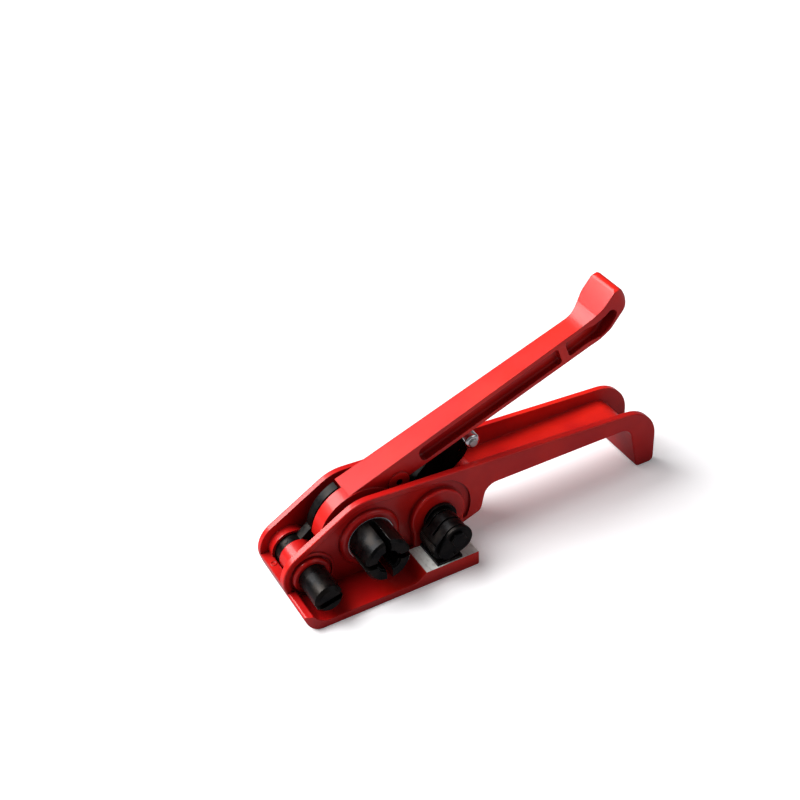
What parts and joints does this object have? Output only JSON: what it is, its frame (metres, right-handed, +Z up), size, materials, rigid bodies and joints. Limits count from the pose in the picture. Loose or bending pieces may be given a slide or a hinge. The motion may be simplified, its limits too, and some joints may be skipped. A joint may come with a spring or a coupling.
{
  "type": "manual strapping tensioner",
  "caption": "Hand tensioner for plastic strapping: cast frame with lower grip, ratchet handle, slotted windlass, toothed strap gripper and a cutter shaft moved by the handle.",
  "frame": {"origin": "on the plane of the sole, midway between the two side walls, straight below the windlass axis", "axes": "+X from the nose to the grips, -Y towards the working side where the strap lies, +Z up from the sole"},
  "size_m": [0.2935, 0.0756, 0.1535],
  "materials": {
    "red_enamel": "gloss",
    "black_steel": "satin, blackened",
    "bare_steel": "turned",
    "zinc_steel": "satin",
    "spring_steel": "satin",
    "roller_chrome": "polished"
  },
  "bodies": {
    "frame": {"frame_casting": "red_enamel", "gripper_bed_insert": "black_steel", "insert_screws": "zinc_steel", "windlass_near_bush": "bare_steel", "windlass_far_bush": "bare_steel", "gripper_bush": "black_steel", "holding_pawl_pin": "zinc_steel", "holding_pawl_spring": "spring_steel", "cutter_return_spring": "spring_steel", "gripper_spring": "spring_steel"},
    "handle": {"tension_handle": "red_enamel", "drive_pawl_pin": "black_steel", "drive_pawl_spring": "spring_steel"},
    "windlass": {"windlass_shaft": "black_steel", "ratchet_wheel": "black_steel", "windlass_washer": "zinc_steel", "windlass_retaining_ring": "black_steel"},
    "drive_pawl": {"drive_pawl": "black_steel"},
    "holding_pawl": {"holding_pawl": "black_steel"},
    "cutter": {"cutter_shaft": "black_steel", "cutter_arm": "black_steel", "cutter_arm_pin": "zinc_steel", "cutter_washer": "zinc_steel", "cutter_retaining_ring": "black_steel"},
    "gripper": {"gripper_shaft": "black_steel", "gripper_washer": "zinc_steel", "gripper_retaining_ring": "black_steel", "gripper_cam": "black_steel", "gripper_end_plate": "black_steel", "gripper_end_screw": "black_steel", "end_plate_screw": "black_steel", "release_lever": "black_steel", "lever_cross_pin": "zinc_steel", "roller_pin": "zinc_steel"},
    "roller": {"release_roller": "roller_chrome"}
  },
  "joints": [
    {"name": "handle_hinge", "type": "hinge", "parent": "frame", "child": "handle", "pos_m": [0, 0, 0.033], "axis": [0, -1, 0], "range_deg": [-2.4, 75]},
    {"name": "windlass_spin", "type": "hinge", "parent": "frame", "child": "windlass", "pos_m": [0, 0, 0.033], "axis": [0, 1, 0], "continuous": true},
    {"name": "drive_pawl_hinge", "type": "hinge", "parent": "handle", "child": "drive_pawl", "pos_m": [0.02853, 0, 0.06046], "axis": [0, 1, 0], "range_deg": [0, 8.5], "deforming": ["drive_pawl_spring"]},
    {"name": "holding_pawl_hinge", "type": "hinge", "parent": "frame", "child": "holding_pawl", "pos_m": [0.02555, 0, 0.01825], "axis": [0, 1, 0], "range_deg": [0, 11.3], "deforming": ["holding_pawl_spring"]},
    {"name": "cutter_hinge", "type": "hinge", "parent": "frame", "child": "cutter", "pos_m": [-0.0435, 0, 0.0205], "axis": [0, -1, 0], "range_deg": [-1.2, 37.5], "deforming": ["cutter_return_spring"]},
    {"name": "gripper_hinge", "type": "hinge", "parent": "frame", "child": "gripper", "pos_m": [0.0505, 0, 0.0293], "axis": [0, 1, 0], "range_deg": [0, 18], "deforming": ["gripper_spring"]},
    {"name": "roller_spin", "type": "hinge", "parent": "gripper", "child": "roller", "pos_m": [0.086, 0, 0.068], "axis": [0, 1, 0], "continuous": true}
  ],
  "couplings": [
    {"joint": "cutter_hinge", "follows": "handle_hinge", "ratio": 0.5}
  ]
}
